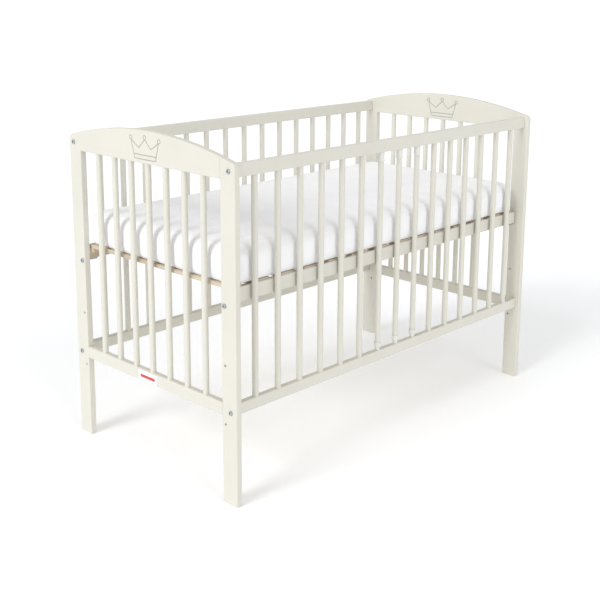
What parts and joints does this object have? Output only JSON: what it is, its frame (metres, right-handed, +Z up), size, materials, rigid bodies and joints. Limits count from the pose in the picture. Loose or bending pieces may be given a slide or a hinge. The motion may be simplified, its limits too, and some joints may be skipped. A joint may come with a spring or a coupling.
{
  "type": "baby crib",
  "caption": "Wooden baby crib with arched end panels, round barred sides with lift-out bars, a height-adjustable slatted base and a loose mattress.",
  "frame": {"origin": "on the floor, under the middle of the crib", "axes": "+Z up, +X from the head end to the foot end, +Y from the front side, which has the lift-out bars, to the back side"},
  "size_m": [1.2482, 0.66, 0.896],
  "materials": {
    "painted_wood": "satin ivory paint over wood, grain just showing",
    "raw_pine": "planed, unfinished",
    "mattress_cover": "white knitted cover, matt",
    "zinc_steel": "bright zinc",
    "clear_plastic": "milky, slightly translucent",
    "label_film": "printed film, no text"
  },
  "bodies": {
    "frame": {"head_post_front": "painted_wood", "head_post_back": "painted_wood", "head_arch_panel": "painted_wood", "head_bottom_rail": "painted_wood", "head_bar_1": "painted_wood", "head_bar_2": "painted_wood", "head_bar_3": "painted_wood", "head_bar_4": "painted_wood", "head_bar_5": "painted_wood", "head_bar_6": "painted_wood", "head_bar_7": "painted_wood", "foot_post_front": "painted_wood", "foot_post_back": "painted_wood", "foot_arch_panel": "painted_wood", "foot_bottom_rail": "painted_wood", "foot_bar_1": "painted_wood", "foot_bar_2": "painted_wood", "foot_bar_3": "painted_wood", "foot_bar_4": "painted_wood", "foot_bar_5": "painted_wood", "foot_bar_6": "painted_wood", "foot_bar_7": "painted_wood", "front_top_rail": "painted_wood", "front_bottom_rail": "painted_wood", "front_bar_1": "painted_wood", "front_bar_2": "painted_wood", "front_bar_3": "painted_wood", "front_bar_4": "painted_wood", "front_bar_5": "painted_wood", "front_bar_6": "painted_wood", "front_bar_10": "painted_wood", "front_bar_11": "painted_wood", "front_bar_12": "painted_wood", "front_bar_13": "painted_wood", "front_bar_14": "painted_wood", "front_bar_15": "painted_wood", "back_top_rail": "painted_wood", "back_bars_and_bottom_rail": "painted_wood", "bar_socket_1": "clear_plastic", "bar_socket_2": "clear_plastic", "bar_socket_3": "clear_plastic", "bar_cup_1": "clear_plastic", "bar_cup_2": "clear_plastic", "bar_cup_3": "clear_plastic", "head_front_top_bolt": "zinc_steel", "head_front_bottom_bolt": "zinc_steel", "head_back_top_bolt": "zinc_steel", "head_back_bottom_bolt": "zinc_steel", "foot_front_top_bolt": "zinc_steel", "foot_front_bottom_bolt": "zinc_steel", "foot_back_top_bolt": "zinc_steel", "foot_back_bottom_bolt": "zinc_steel", "blank_label": "label_film"},
    "bed_base": {"base_front_rail": "painted_wood", "base_back_rail": "painted_wood", "base_slat_deck": "raw_pine"},
    "mattress": {"mattress": "mattress_cover"},
    "removable_bar_1": {"removable_bar_1": "painted_wood"},
    "removable_bar_2": {"removable_bar_2": "painted_wood"},
    "removable_bar_3": {"removable_bar_3": "painted_wood"}
  },
  "joints": [
    {"name": "base_height", "type": "slide", "parent": "frame", "child": "bed_base", "axis": [0, 0, 1], "range_m": [-0.3, 0]},
    {"name": "mattress_lift_out", "type": "slide", "parent": "bed_base", "child": "mattress", "axis": [0, 0, 1], "range_m": [0, 0.4]},
    {"name": "removable_bar_1_lift", "type": "slide", "parent": "frame", "child": "removable_bar_1", "axis": [0, 0, 1], "range_m": [0, 0.0145], "stiffness_N_per_m": 300, "springref_m": -0.01},
    {"name": "removable_bar_2_lift", "type": "slide", "parent": "frame", "child": "removable_bar_2", "axis": [0, 0, 1], "range_m": [0, 0.0145], "stiffness_N_per_m": 300, "springref_m": -0.01},
    {"name": "removable_bar_3_lift", "type": "slide", "parent": "frame", "child": "removable_bar_3", "axis": [0, 0, 1], "range_m": [0, 0.0145], "stiffness_N_per_m": 300, "springref_m": -0.01}
  ]
}
